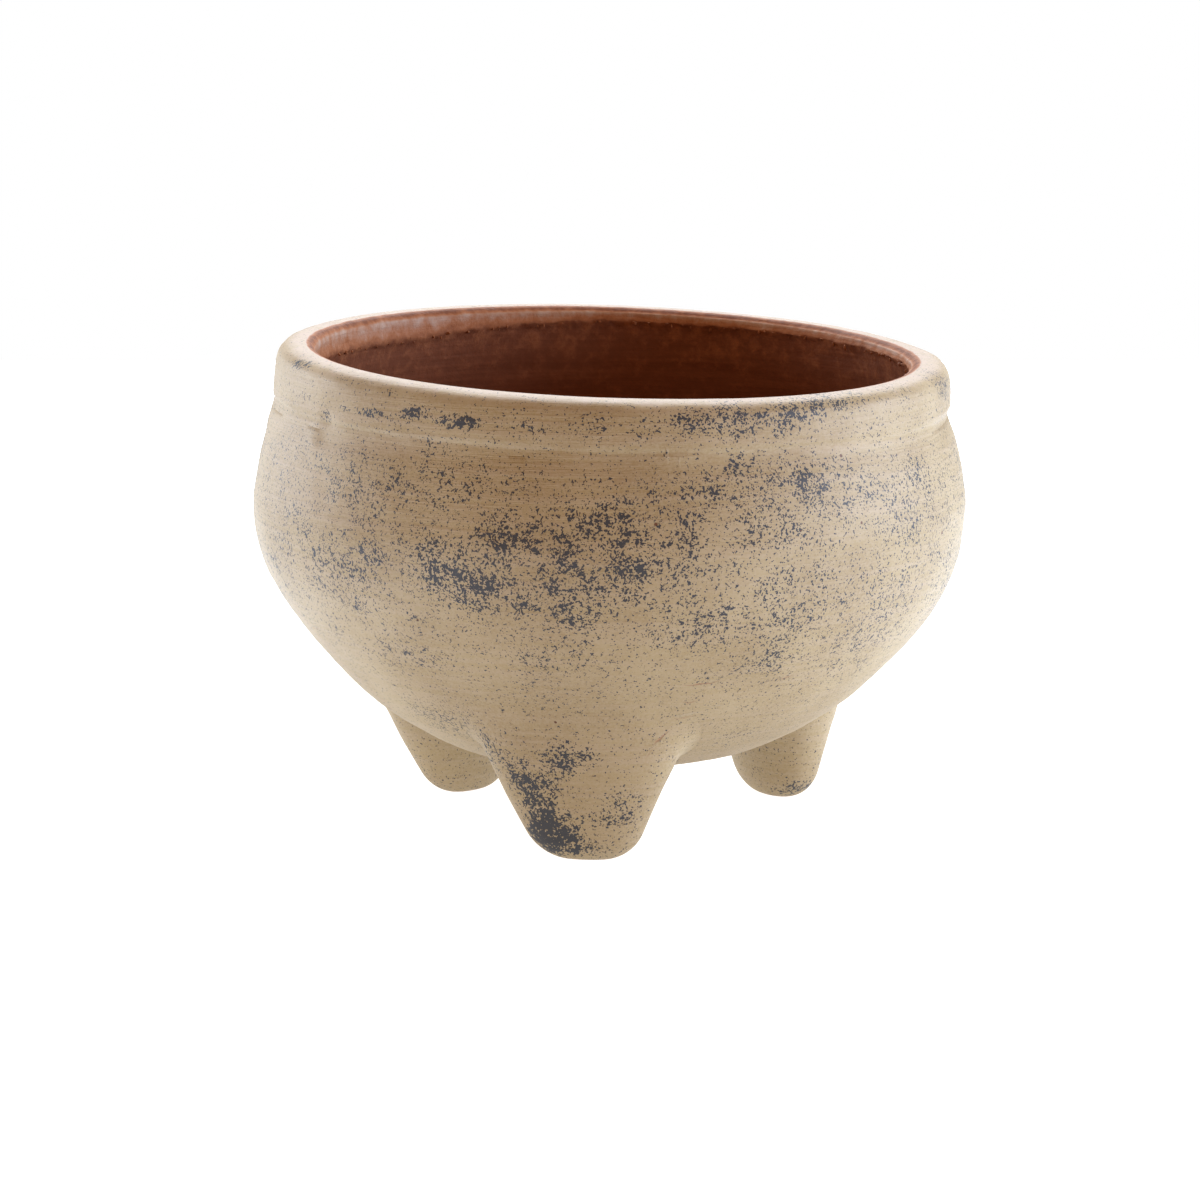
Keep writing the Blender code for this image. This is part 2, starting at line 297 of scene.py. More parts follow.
# A section of the bowl turned into a ring of clay: a grid with one row for each point of the
# section, bent round. The points carry how much slip and how much torn clay is on them.
turned_clay, given, result = new_tree(
    "turned_clay", "GeometryNodeTree",
    (("Section", "Geometry", None), ("Around", "Int", AROUND_BOWL), ("Closed Section", "Int", 0),
     ("Clay", "Material", None)),
    (("Geometry", "Geometry", None),))
tree = turned_clay
count = add(tree, "GeometryNodeAttributeDomainSize", {0: given["Section"]}).outputs["Point Count"]
rows = maths(tree, "ADD", count, given["Closed Section"])
columns = maths(tree, "ADD", given["Around"], 1.0)
grid = add(tree, "GeometryNodeMeshGrid",
           {"Size X": 1.0, "Size Y": 1.0, "Vertices X": columns, "Vertices Y": rows})
across, along, _ = split(tree, position(tree))
row = maths(tree, "MULTIPLY", maths(tree, "ADD", along, 0.5), maths(tree, "SUBTRACT", rows, 1.0))
row = maths(tree, "MODULO", maths(tree, "ROUND", row), count)
turn = maths(tree, "MULTIPLY", maths(tree, "ADD", across, 0.75), 2 * math.pi)
clay = grid.outputs["Mesh"]
for name in ("slip", "burr"):
    on_section = add(tree, "GeometryNodeSampleIndex",
                     {0: given["Section"], "Value": carried(tree, name), "Index": row}, data_type="FLOAT")
    clay = add(tree, "GeometryNodeStoreNamedAttribute",
               {"Geometry": clay, "Name": name, "Value": on_section.outputs[0]},
               data_type="FLOAT").outputs[0]
on_section = add(tree, "GeometryNodeSampleIndex",
                 {0: given["Section"], "Value": position(tree), "Index": row}, data_type="FLOAT_VECTOR")
radius, _, height = split(tree, on_section.outputs[0])
ring = xyz(tree, maths(tree, "MULTIPLY", radius, maths(tree, "COSINE", turn)),
           maths(tree, "MULTIPLY", radius, maths(tree, "SINE", turn)), height)
clay = add(tree, "GeometryNodeSetPosition", {"Geometry": clay, "Position": ring}).outputs[0]
clay = add(tree, "GeometryNodeMergeByDistance", {"Geometry": clay, "Distance": 0.001 * MM}).outputs[0]
clay = add(tree, "GeometryNodeGroup", {"Geometry": clay}, node_tree=hand_worked).outputs[0]
clay = add(tree, "GeometryNodeRealizeInstances", {0: clay}).outputs[0]
clay = add(tree, "GeometryNodeSetMaterial", {"Geometry": clay, "Material": given["Clay"]}).outputs[0]
feed(tree, result[0], clay)


def store(mesh, name, values):
    """Give the mesh's points an attribute."""
    attribute = mesh.attributes.new(name, "FLOAT", "POINT")
    attribute.data.foreach_set("value", np.ascontiguousarray(values, np.float32))


def set_input(obj, tree, name, value):
    """Set a Geometry Nodes modifier's input by its name in the tree."""
    obj.modifiers[0][tree.interface.items_tree[name].identifier] = value


def made_plain(obj, name):
    """The modified object as a plain closed mesh of that name. The original goes."""
    graph = bpy.context.evaluated_depsgraph_get()
    mesh = bpy.data.meshes.new_from_object(obj.evaluated_get(graph))
    bpy.data.objects.remove(obj)
    mesh.name = name
    build = bmesh.new()
    build.from_mesh(mesh)
    bmesh.ops.recalc_face_normals(build, faces=build.faces)
    build.to_mesh(mesh)
    build.free()
    mesh.shade_smooth()
    mesh.set_sharp_from_angle(angle=math.radians(50))
    store(mesh, "sponged", sponged_cover(places_of(mesh)))
    piece = bpy.data.objects.new(name, mesh)
    bpy.context.scene.collection.objects.link(piece)
    return piece


def with_slip(line, slip):
    """The line's points as (radius, height, slip, burr), with this slip and no burr."""
    return [(p.x, p.y, slip, 0.0) for p in line]


def turned(name, section, closed):
    """A ring of clay from (radius, height, slip, burr) points."""
    mesh = bpy.data.meshes.new(name + "_section")
    edges = [(i, i + 1) for i in range(len(section) - 1)]
    mesh.from_pydata([(radius, 0.0, height) for radius, height, _, _ in section], edges, [])
    for column, attribute in ((2, "slip"), (3, "burr")):
        store(mesh, attribute, [point[column] for point in section])
    obj = bpy.data.objects.new(name + "_section", mesh)
    bpy.context.scene.collection.objects.link(obj)
    obj.modifiers.new("turned_clay", "NODES").node_group = turned_clay
    set_input(obj, turned_clay, "Closed Section", int(closed))
    set_input(obj, turned_clay, "Clay", sponged_clay)
    return made_plain(obj, name)


# Shades. The red clay is bare inside. The cream slip turns pink where it is thin; that thin slip is also
# painted lighter and whiter, a painted sheen on the lip.
RED_CLAY = (0.200, 0.077, 0.043, 1)
PALE_RED_CLAY = (0.34, 0.135, 0.072, 1)
CREAM_SLIP = (0.470, 0.372, 0.212, 1)
TAN_SLIP = (0.385, 0.288, 0.150, 1)
DUSTY_SLIP = (0.56, 0.475, 0.35, 1)
# Pale pink thin slip, painted lighter and whiter than its own colour as a painted sheen.
THIN_SLIP_WITH_SHEEN = (0.57, 0.465, 0.395, 1)
ROSY_WASH = (0.43, 0.185, 0.090, 1)
SLATE = (0.029, 0.040, 0.062, 1)
RUST = (0.16, 0.06, 0.03, 1)


# Where the sponge was dabbed: direction, height, half width, half height and strength. The first
# lines are the rim band from left to right, then the belly, the body under it, and the far side.
SPONGE_DABS = (
    (204, 140.5, 7, 1.6, 1.5), (209, 132, 5, 1.2, 0.5), (221, 131, 3, 1.2, 0.9), (228, 131, 6, 1.4, 1.2),
    (231, 137.5, 3, 1.6, 0.4), (237, 132, 6, 1.9, 1.4), (245, 130.5, 7, 1.7, 1.9), (256, 130, 9, 3.5, 0.35),
    (267, 131, 8, 3.4, 0.5), (277, 130.5, 6, 4, 0.32), (283, 131.5, 5, 4.2, 0.9), (290, 131, 8, 4.8, 1.0),
    (300, 131, 9, 4.8, 0.85), (309, 135, 12, 3.2, 0.9), (326, 138, 9, 3, 0.4), (344, 135, 9, 4, 0.4),
    (216, 127.5, 3, 2.2, 0.6), (211, 118, 20, 5, 0.2), (240, 122.5, 3, 4, 0.45), (227, 111, 17, 8, 0.2),
    (244, 113, 13, 8, 0.3), (230, 90, 7, 7, 0.4), (242, 92, 9, 7, 0.85), (248, 86, 9, 7.5, 0.85),
    (254, 99.5, 10, 7, 0.8), (255, 83, 8, 5, 0.8), (263, 100, 9, 8, 0.55), (271, 105, 8, 6, 0.8),
    (273, 88, 7, 11, 0.65), (264, 86, 11, 9, 0.5), (280, 101, 9, 14, 0.42), (291, 114, 12, 8, 0.35),
    (306, 112, 16, 8, 0.36), (323, 105, 17, 10, 0.28), (296, 101, 11, 6, 0.4), (299, 74, 11, 6, 0.6),
    (298, 62, 9, 6, 0.5), (283, 75, 13, 9, 0.4), (261, 64, 11, 7, 0.28), (229, 39, 12, 7, 0.5),
    (231, 62, 13, 6, 0.35), (318, 66, 18, 16, 0.32), (223, 87, 12, 10, 0.3), (305, 34, 9, 5, 0.25),
    (20, 88, 20, 13, 0.6), (48, 99, 12, 16, 0.5), (78, 78, 15, 11, 0.8), (108, 103, 22, 10, 0.5),
    (136, 84, 13, 15, 0.7), (165, 101, 18, 11, 0.45), (62, 131, 20, 4, 0.7), (140, 133, 18, 4, 0.7),
    (350, 131, 14, 4, 0.5), (95, 42, 14, 11, 0.4), (185, 60, 12, 9, 0.35), (345, 74, 14, 10, 0.4),
    (15, 118, 14, 8, 0.35), (120, 60, 14, 9, 0.4), (180, 112, 12, 8, 0.4),
)
# The same on the feet, by place.
FOOT_DABS = (
    ((-33, -63, 33), 5, 7, 1.0), ((-26, -68, 29), 5, 5.5, 1.1), ((-12, -74, 32), 7, 5, 1.5),
    ((-21, -68, 21), 7, 6, 1.7), ((-17, -66, 9), 7.5, 7, 3.2), ((-6, -69, 13.5), 5, 3.5, 0.5),
    ((-8, -67, 4), 6, 2.5, 1.1), ((5, -69, 17), 6, 4.5, 0.7), ((1.5, -68, 11), 4, 5, 0.45),
    ((58, 19, 4), 8, 3.5, 0.6), ((-57, 30, 8), 6, 8, 0.3), ((-52, 46, 12), 8, 8, 0.7),
    ((46, 38, 14), 7, 8, 0.5),
)
LOOSE_DABS = 240  # small ones at random


def all_dabs():
    """Every dab as a place, half width, half height and strength, in metres."""
    dabs = [(on_bowl(degrees, height), wide * MM, high * MM, strength)
            for degrees, height, wide, high, strength in SPONGE_DABS]
    dabs += [(Vector(place) * MM, wide * MM, high * MM, strength)
             for place, wide, high, strength in FOOT_DABS]
    chance = random.Random(11)
    for _ in range(LOOSE_DABS):
        place = on_bowl(chance.uniform(0, 360), chance.gauss(95, 20))
        size = chance.uniform(1.5, 6) * MM
        dabs.append((place, size, size * chance.uniform(0.6, 1.0), chance.uniform(0.08, 0.32)))
    return dabs


def sponged_cover(places):
    """How thickly the sponge left its colour at each place, from 0 to about 1."""
    height = places[:, 2]
    band = np.interp(height, np.array((0, 30, 62, 80, 112, 122, 126, 141)) * MM,
                     (0.16, 0.10, 0.18, 0.30, 0.28, 0.11, 0.16, 0.06))
    for centre, wide, high, strength in all_dabs():
        away = (places - np.array(centre)) / (wide, wide, high)
        near = np.clip(1.25 - np.sqrt((away ** 2).sum(axis=1)) * 0.8, 0, 1)
        band = band + 0.75 * strength * near * near * (3 - 2 * near) * np.clip(1.3 - band, 0.1, 1)
    return band


def places_of(mesh):
    places = np.empty(len(mesh.vertices) * 3, np.float32)
    mesh.vertices.foreach_get("co", places)
    return places.reshape(-1, 3).astype(float)


# Specks of the sponge's colour where enough of it came off: fine dots, and coarser ones that run
# together.
sponged_specks, given, result = new_tree("sponged_specks", "ShaderNodeTree",
                                         (("Place", "Vector", None), ("Cover", "Float", 0.1)),
                                         (("Specks", "Float", None),))
tree = sponged_specks
place = given["Place"]
patches = noise(tree, place, 190.0, 2.0, shift=(5, 2, 1), roughness=0.6)
patches = ramp(tree, patches, 0.34, 0.66, 0.55, 1.3)
cover = maths(tree, "MINIMUM", maths(tree, "MULTIPLY", given["Cover"], patches), 1.5)
coarse = noise(tree, place, 820.0, 2.5, roughness=0.7)
fine = noise(tree, place, 1500.0, 1.0, shift=(3, 9, 4), roughness=0.5)
edge = maths(tree, "MULTIPLY_ADD", maths(tree, "POWER", cover, 0.8), -0.185, 0.695)
coarse = ramp(tree, maths(tree, "SUBTRACT", coarse, edge), 0.0, 0.010)
fine = ramp(tree, maths(tree, "SUBTRACT", fine, maths(tree, "ADD", edge, 0.02)), 0.0, 0.014)
feed(tree, result["Specks"], maths(tree, "MAXIMUM", coarse, fine))

# Level marks of the rib and the wet sponge, which run round the bowl.
wiped_marks, given, result = new_tree("wiped_marks", "ShaderNodeTree",
                                      (("Place", "Vector", None), ("Fineness", "Float", 1.0)),
                                      (("Marks", "Float", None),))
tree = wiped_marks
marks = noise(tree, given["Place"], given["Fineness"], 4.0, stretch=(22, 22, 620), roughness=0.62)
feed(tree, result["Marks"], ramp(tree, marks, 0.25, 0.75))

# Grain of the clay and the pinholes that burnt-out bits leave.
PINHOLE_CELLS = 75.0  # to a metre, with room for one small pinhole each
# The larger ones' direction in degrees, and height and radius in millimetres.
PINHOLES = ((205, 37.9, 0.75), (259, 44.1, 0.42), (285, 30.5, 0.55), (326, 27.5, 0.5), (312, 100.5, 0.4),
            (335, 92.5, 0.55), (44, 70, 0.6), (130, 96, 0.5), (171, 44, 0.7), (238, 74, 0.4),
            (97, 112, 0.5))

clay_grain, given, result = new_tree("clay_grain", "ShaderNodeTree",
                                     (("Place", "Vector", None), ("Pinhole Size", "Float", 0.3 * MM)),
                                     (("Grain", "Float", None), ("Pinholes", "Float", None)))
tree = clay_grain
place = given["Place"]
feed(tree, result["Grain"], noise(tree, place, 1300.0, 3.0, roughness=0.7))
cells = add(tree, "ShaderNodeTexVoronoi", {"Vector": place, "Scale": PINHOLE_CELLS, "Randomness": 1.0})
size = maths(tree, "MULTIPLY", given["Pinhole Size"], PINHOLE_CELLS)
chance = add(tree, "ShaderNodeSeparateColor", {0: cells.outputs["Color"]}).outputs[0]
size = maths(tree, "MULTIPLY", size, ramp(tree, chance, 0.6, 1.0))
holes = ramp(tree, maths(tree, "SUBTRACT", size, cells.outputs["Distance"]), -0.004, 0.008)
ragged = maths(tree, "MULTIPLY", noise(tree, place, 900.0, 2.0), 0.5 * MM)
for degrees, height, radius in PINHOLES:
    centre = on_bowl(degrees, height)
    through = (centre - BODY_CENTRE).normalized()
    away = vectors(tree, "CROSS_PRODUCT", vectors(tree, "SUBTRACT", place, centre), through)
    away = maths(tree, "ADD", vectors(tree, "LENGTH", away), ragged)
    hole = ramp(tree, away, (radius + 0.30) * MM, (radius + 0.12) * MM)
    holes = maths(tree, "MAXIMUM", holes, hole)
feed(tree, result["Pinholes"], holes)

# Scrapes of the potter's tool in the slip: direction, height, tilt in degrees up to the right, half
# length and half width in millimetres, and how much they stand out. Less than 0 is cut in, and shows
# some of the red.
SCRAPE_DEPTH = 8  # millimetres off the bowl's surface that a scrape still marks
SCRAPES = ((287, 56, 5, 7, 0.35, -0.8), (286, 45.7, 9, 6.5, 0.5, 0.9), (285.5, 44.7, 9, 5, 0.35, -0.5),
           (291, 48, 10, 5, 0.4, 0.8), (281, 40, 35, 3.5, 0.5, -0.9), (278.5, 37.6, 40, 2.8, 0.5, -0.7),
           (303.5, 56.1, 8, 2.8, 0.35, -0.7), (285.5, 50, 2, 3, 0.4, -0.6), (279, 122.6, 88, 2.4, 0.5, 0.8),
           (281, 121, 95, 1.5, 0.4, 0.6), (100, 60, 12, 7, 0.4, -0.7), (160, 52, -8, 6, 0.4, 0.8),
           (30, 110, 5, 8, 0.35, -0.6), (205, 63, 10, 5, 0.35, -0.5))

tool_scrapes, given, result = new_tree("tool_scrapes", "ShaderNodeTree", (("Place", "Vector", None),),
                                       (("Raised", "Float", None), ("Cut", "Float", None)))
tree = tool_scrapes
wander = maths(tree, "SUBTRACT", noise(tree, given["Place"], 300.0, 3.0), 0.5)
wander = maths(tree, "MULTIPLY", wander, 2.4 * MM)
raised = 0.0
cut = 0.0
for degrees, height, tilt, long, wide, stand in SCRAPES:
    ahead = facing(degrees)
    level = Vector((-ahead.y, ahead.x, 0.0))
    uphill = (on_bowl(degrees, height + 4) - on_bowl(degrees, height - 4)).normalized()
    through = level.cross(uphill)
    run = level * math.cos(math.radians(tilt)) + uphill * math.sin(math.radians(tilt))
    away = vectors(tree, "SUBTRACT", given["Place"], on_bowl(degrees, height))
    along = vectors(tree, "DOT_PRODUCT", away, run)
    across = maths(tree, "ADD", vectors(tree, "DOT_PRODUCT", away, run.cross(through)), wander)
    deep = vectors(tree, "DOT_PRODUCT", away, through)
    parts = [maths(tree, "DIVIDE", part, size * MM)
             for part, size in ((along, long), (across, wide), (deep, SCRAPE_DEPTH))]
    scrape = ramp(tree, vectors(tree, "LENGTH", xyz(tree, *parts)), 1.1, 0.3, 0.0, abs(stand))
    if stand > 0:
        raised = maths(tree, "MAXIMUM", raised, scrape)
    else:
        cut = maths(tree, "MAXIMUM", cut, scrape)
feed(tree, result["Raised"], raised)
feed(tree, result["Cut"], cut)


def mix(tree, share, a, b):
    """Colour a, with this share of colour b."""
    return add(tree, "ShaderNodeMix", {0: share, 6: a, 7: b}, data_type="RGBA").outputs[2]


def group(tree, node_tree, **values):
    return add(tree, "ShaderNodeGroup", values, node_tree=node_tree).outputs


def clay_material(name):
    """Red clay with cream slip as thick as the slip attribute says, and sponged specks on the slip."""
    material = bpy.data.materials.new(name)
    material.use_nodes = True
    tree = material.node_tree
    shader = tree.nodes["Principled BSDF"]
    place = add(tree, "ShaderNodeTexCoord").outputs["Object"]
    slip = add(tree, "ShaderNodeAttribute", attribute_name="slip").outputs["Fac"]
    sponged = add(tree, "ShaderNodeAttribute", attribute_name="sponged").outputs["Fac"]
    marks = group(tree, wiped_marks, Place=place)["Marks"]
    grain, pinholes = group(tree, clay_grain, Place=place)
    specks = group(tree, sponged_specks, Place=place, Cover=sponged)["Specks"]
    raised, cut = group(tree, tool_scrapes, Place=place)
    clouds = noise(tree, place, 34.0, 3.0, shift=(1, 4, 2))
    mottle = noise(tree, place, 240.0, 4.0, shift=(2, 1, 7), roughness=0.65)

    red = mix(tree, ramp(tree, marks, 0.3, 1.0, 0.0, 0.22), RED_CLAY, PALE_RED_CLAY)
    red = mix(tree, ramp(tree, mottle, 0.35, 0.7, 0.0, 0.25), red, PALE_RED_CLAY)
    thickness = maths(tree, "MULTIPLY_ADD", maths(tree, "SUBTRACT", mottle, 0.5), 0.6, slip)
    red = mix(tree, ramp(tree, thickness, 0.02, 0.34), red, ROSY_WASH)
    coat = ramp(tree, thickness, 0.24, 0.72)
    full = ramp(tree, thickness, 0.55, 0.95)
    cream = mix(tree, ramp(tree, clouds, 0.3, 0.7), CREAM_SLIP, TAN_SLIP)
    # Rib marks thin the slip to the pale colour that also carries the painted sheen.
    cream = mix(tree, ramp(tree, marks, 0.2, 1.0, 0.0, 0.20), cream, THIN_SLIP_WITH_SHEEN)
    cream = mix(tree, ramp(tree, mottle, 0.5, 0.28, 0.0, 0.35), cream, TAN_SLIP)
    cream = mix(tree, ramp(tree, grain, 0.35, 0.68, 0.0, 0.35), cream, DUSTY_SLIP)
    cream = mix(tree, maths(tree, "MULTIPLY", raised, 0.55), cream, DUSTY_SLIP)
    cream = mix(tree, maths(tree, "MULTIPLY", cut, 0.6), cream, PALE_RED_CLAY)
    # Where the slip is thin, as on the lip, its pale colour includes a painted sheen.
    slipped = mix(tree, full, THIN_SLIP_WITH_SHEEN, cream)
    colour = mix(tree, coat, red, slipped)
    covered = ramp(tree, slip, 0.4, 0.8)
    on_slip = maths(tree, "MULTIPLY", specks, covered)
    colour = mix(tree, maths(tree, "MULTIPLY", on_slip, 0.94), colour, SLATE)
    holes = maths(tree, "MULTIPLY", pinholes, covered)
    colour = mix(tree, maths(tree, "MULTIPLY", holes, 0.9), colour, RUST)
    feed(tree, shader.inputs["Base Color"], colour)
    roughness = maths(tree, "MULTIPLY_ADD", coat, 0.26, 0.44)
    roughness = maths(tree, "MULTIPLY_ADD", marks, 0.10, roughness)
    feed(tree, shader.inputs["Roughness"], roughness)
    shader.inputs["Specular IOR Level"].default_value = 0.07
    feed(tree, shader.inputs["Coat Weight"], maths(tree, "MULTIPLY", coat, 0.8))
    shader.inputs["Coat Roughness"].default_value = 0.5

    height = maths(tree, "MULTIPLY", marks, ramp(tree, coat, 0.0, 1.0, 0.25, 0.55))
    height = maths(tree, "MULTIPLY_ADD", grain, 0.35, height)
    height = maths(tree, "MULTIPLY_ADD", mottle, 0.9, height)
    height = maths(tree, "MULTIPLY_ADD", on_slip, 0.10, height)
    height = maths(tree, "MULTIPLY_ADD", holes, -1.2, height)
    height = maths(tree, "MULTIPLY_ADD", maths(tree, "SUBTRACT", raised, cut), 0.7, height)
    bump = add(tree, "ShaderNodeBump", {"Strength": 0.9, "Distance": 0.4 * MM, "Height": height})
    feed(tree, shader.inputs["Normal"], bump.outputs[0])
    return material


sponged_clay = clay_material("sponged_clay")

scarf_top = Vector((BELLY_RADIUS - WALL, BELLY_HEIGHT + SCARF_RISE))
scarf = smooth_line((scarf_top, lower_outside[-1]), MESH_STEP)[:-1]
section = (with_slip(lower_inside, 0.0) + with_slip(scarf[:1], 0.0) + with_slip(scarf[1:], 0.5)
           + with_slip(lower_outside[::-1], 1.0))
lower_bowl = turned("moulded_lower_bowl", section, False)
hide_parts("lower_bowl")
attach(lower_bowl, "root")


# ---- Upper wall ----------------------------------------------------------------------------------
# A ring of clay built on the lower bowl's bevel with a film of slip between them, smoothed flush
# with it inside and out. Its top is rounded to take the rim coil.

SLIP_FILM = 0.3 * MM
SEAT_RISE = 2.5 * MM

film = Vector((0.0, SLIP_FILM))
crown = (upper_inside[-1] + upper_outside[-1]) / 2 + Vector((0.0, SEAT_RISE))
wall_top = smooth_line((upper_inside[-1], crown, upper_outside[-1]), MESH_STEP)
flush_inside = [p for p in upper_inside if p.y > scarf_top.y]
bevel = smooth_line((upper_outside[0], scarf_top), MESH_STEP)
bevel = [bevel[0]] + [p + film for p in bevel[1:-1]] + [bevel[-1]]
section = (with_slip(bevel[:1], 1.0) + with_slip(bevel[1:-1], 0.5) + with_slip(bevel[-1:], 0.0)
           + with_slip(flush_inside, 0.0) + with_slip(wall_top[1:-1], 0.5)
           + with_slip(upper_outside[:0:-1], 1.0))
upper_wall = turned("built_upper_wall", section, True)
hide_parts("upper_wall")
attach(upper_wall, "root")


# ---- Rim coil ------------------------------------------------------------------------------------
# A thick coil pressed over the wall's top. Outside it stands out as a plain band over a soft groove.
# Its inner edge was drawn down over the wall and left torn, and only a thin wash of slip runs over
# the lip to there. Near the lip that wash is painted paler, partly a painted highlight on the lip's inner
# edge.

# Distance from the axis and height in millimetres, with the slip and the burr there: up the inner
# face, over the lip and down the band.
# The slip climbing towards the lip on the inner face is partly real wash and partly a painted highlight.
INNER_FACE = (((90.2, 126.0), 0.04, 0.0), ((89.3, 130.2), 0.08, 0.1), ((88.6, 132.0), 0.10, 0.6),
              ((87.95, 132.9), 0.16, 0.9), ((87.8, 134.0), 0.24, 0.5), ((88.0, 135.6), 0.31, 0.12),
              ((88.15, 137.4), 0.42, 0.02), ((88.35, 138.7), 0.46, 0.0))
LIP = (((88.85, 139.55), 0.20, 0.0), ((89.6, 140.2), 0.06, 0.03), ((90.5, 140.5), 0.24, 0.03),
       ((91.3, 140.65), 0.72, 0.0), ((92.4, 140.7), 0.70, 0.0), ((94.8, 140.6), 0.74, 0.0),
       ((97.3, 139.8), 0.88, 0.0), ((98.9, 138.3), 1.0, 0.0), ((99.65, 136.3), 1.0, 0.0))
BAND = (((100.0, 134.0), 1.0, 0.0), ((100.25, 131.0), 1.0, 0.0), ((100.4, 128.2), 1.0, 0.06),
        ((100.35, 126.9), 1.0, 0.18), ((99.95, 126.0), 1.0, 0.2), ((99.9, 124.9), 1.0, 0.05))


RIM_STEP = 0.55 * MM  # between the mesh's rows, closer so that the lip is round


def painted_line(knots, spacing):
    """A smooth line through the knots, with the slip and burr of each knot shading into the next."""
    line = []
    places = [Vector(knot[0]) * MM for knot in knots]
    for i, (knot, following) in enumerate(zip(knots, knots[1:])):
        stretch = smooth_line(places, spacing, i, i + 1)
        for j, point in enumerate(stretch[:-1]):
            share = j / (len(stretch) - 1)
            slip, burr = (a + (b - a) * share for a, b in zip(knot[1:], following[1:]))
            line.append((point.x, point.y, slip, burr))
    return line + [(places[-1].x, places[-1].y, knots[-1][1], knots[-1][2])]


seat = [p + film for p in wall_top]
seat[0] = wall_top[0]
seat[-1] = wall_top[-1]
first_knot = ((seat[0].x / MM, seat[0].y / MM), 0.0, 0.0)
last_knot = ((seat[-1].x / MM, seat[-1].y / MM), 1.0, 0.0)
face = painted_line((first_knot,) + INNER_FACE + LIP + BAND + (last_knot,), RIM_STEP)
section = face + with_slip(seat[-2:0:-1], 0.5)
rim_coil = turned("rolled_rim", section, True)
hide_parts("rim_coil")
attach(rim_coil, "root")


# Crumbs of torn clay left along the drawn-down edge.
CRUMBS = (
    ("Geometry", "Geometry", None),
    ("Crumbs", "Int", 330),
    ("Ring Radius", "Float", 88.1 * MM),
    ("Ring Height", "Float", 132.9 * MM),
    ("Smallest", "Float", 0.12 * MM),
    ("Largest", "Float", 0.52 * MM),
    ("Spread", "Float", 0.75 * MM),
    ("Clay", "Material", None),
)
burr_crumbs, given, result = new_tree("burr_crumbs", "GeometryNodeTree", CRUMBS, CRUMBS[:1])
tree = burr_crumbs
ring = add(tree, "GeometryNodeMeshCircle", {"Vertices": given["Crumbs"], "Radius": given["Ring Radius"]})
stray = add(tree, "FunctionNodeRandomValue", {0: (-1.6, -1.6, -1.0), 1: (1.6, 1.6, 1.0), "Seed": 4},
            data_type="FLOAT_VECTOR").outputs[0]
spread = xyz(tree, given["Spread"], given["Spread"], given["Spread"])
offset = vectors(tree, "ADD", xyz(tree, z=given["Ring Height"]), vectors(tree, "MULTIPLY", stray, spread))
ring = add(tree, "GeometryNodeSetPosition", {"Geometry": ring.outputs[0], "Offset": offset})
crumb = add(tree, "GeometryNodeMeshIcoSphere", {"Radius": 1.0, "Subdivisions": 1})
turned_any_way = add(tree, "FunctionNodeRandomValue", {0: (0, 0, 0), 1: (6.3, 6.3, 6.3), "Seed": 9},
                     data_type="FLOAT_VECTOR").outputs[0]
size = add(tree, "FunctionNodeRandomValue", {2: given["Smallest"], 3: given["Largest"], "Seed": 2},
           data_type="FLOAT").outputs[1]
sizes = xyz(tree, maths(tree, "MULTIPLY", size, 1.5), size, size)
clay = add(tree, "GeometryNodeInstanceOnPoints",
           {"Points": ring.outputs[0], "Instance": crumb.outputs[0], "Rotation": turned_any_way,
            "Scale": sizes}).outputs[0]
clay = add(tree, "GeometryNodeRealizeInstances", {0: clay}).outputs[0]
clay = add(tree, "GeometryNodeStoreNamedAttribute", {"Geometry": clay, "Name": "slip", "Value": 0.2},
           data_type="FLOAT").outputs[0]
clay = add(tree, "GeometryNodeGroup", {"Geometry": clay}, node_tree=hand_worked).outputs[0]
clay = add(tree, "GeometryNodeSetMaterial", {"Geometry": clay, "Material": given["Clay"]}).outputs[0]
feed(tree, result[0], clay)

obj = bpy.data.objects.new("crumbs", bpy.data.meshes.new("crumbs"))
bpy.context.scene.collection.objects.link(obj)
obj.modifiers.new("burr_crumbs", "NODES").node_group = burr_crumbs
set_input(obj, burr_crumbs, "Clay", sponged_clay)
crumbs = made_plain(obj, "rim_burr_crumbs")
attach(crumbs, "root")


# ---- Feet ----------------------------------------------------------------------------------------
# Three flattened lobes of clay, each rolled, patted on its faces and set on the bowl's underside,
# where its top is hollowed to fit. Coated with slip all over but for the sole, which is rubbed bare.

AROUND_FOOT = 96
FOOT_STEP = 1.0 * MM
TIP_RADIUS = 14.0 * MM
TIP_SLOPE = 16  # degrees off level at the edge of the sole
TIP_STEPS = 14
PUSHED_UP_TO = 20 * MM  # the height where a foot that is pushed aside starts to bend
HALF_SOLE = 8.2 * MM
# Each foot's direction in degrees, distance from the axis, widening of its flanks, flatness, and how
# far its tip is pushed aside to the right.
FEET = {
    "front": (262.6, 59.0 * MM, 0.48, 0.58, 1.3 * MM),
    "left": (140.7, 58.5 * MM, 0.58, 0.58, 1.4 * MM),
    "right": (30.6, 59.7 * MM, 0.36, 0.58, 0.2 * MM),
}
ROUND = 2.25  # 2 would make the feet plain ovals in section, and more makes them squarer


def underside(point):
    """The height of the bowl's outside over this place."""
    distance = math.hypot(point.x, point.y)
    for low, high in zip(lower_outside, lower_outside[1:]):
        if distance <= high.x:
            return low.y + (high.y - low.y) * (distance - low.x) / (high.x - low.x)
    return lower_outside[-1].y


def tip_profile(flare):
    """(half width, height) over the foot's tip, from the edge of the sole to the start of the flank."""
    slope = math.radians(TIP_SLOPE)
    centre = Vector((HALF_SOLE - TIP_RADIUS * math.sin(slope), TIP_RADIUS * math.cos(slope)))
    first = slope - math.pi / 2
    last = -math.atan(flare)
    profile = []
    for i in range(TIP_STEPS + 1):
        angle = first + (last - first) * i / TIP_STEPS
        profile.append(centre + TIP_RADIUS * Vector((math.cos(angle), math.sin(angle))))
    return profile


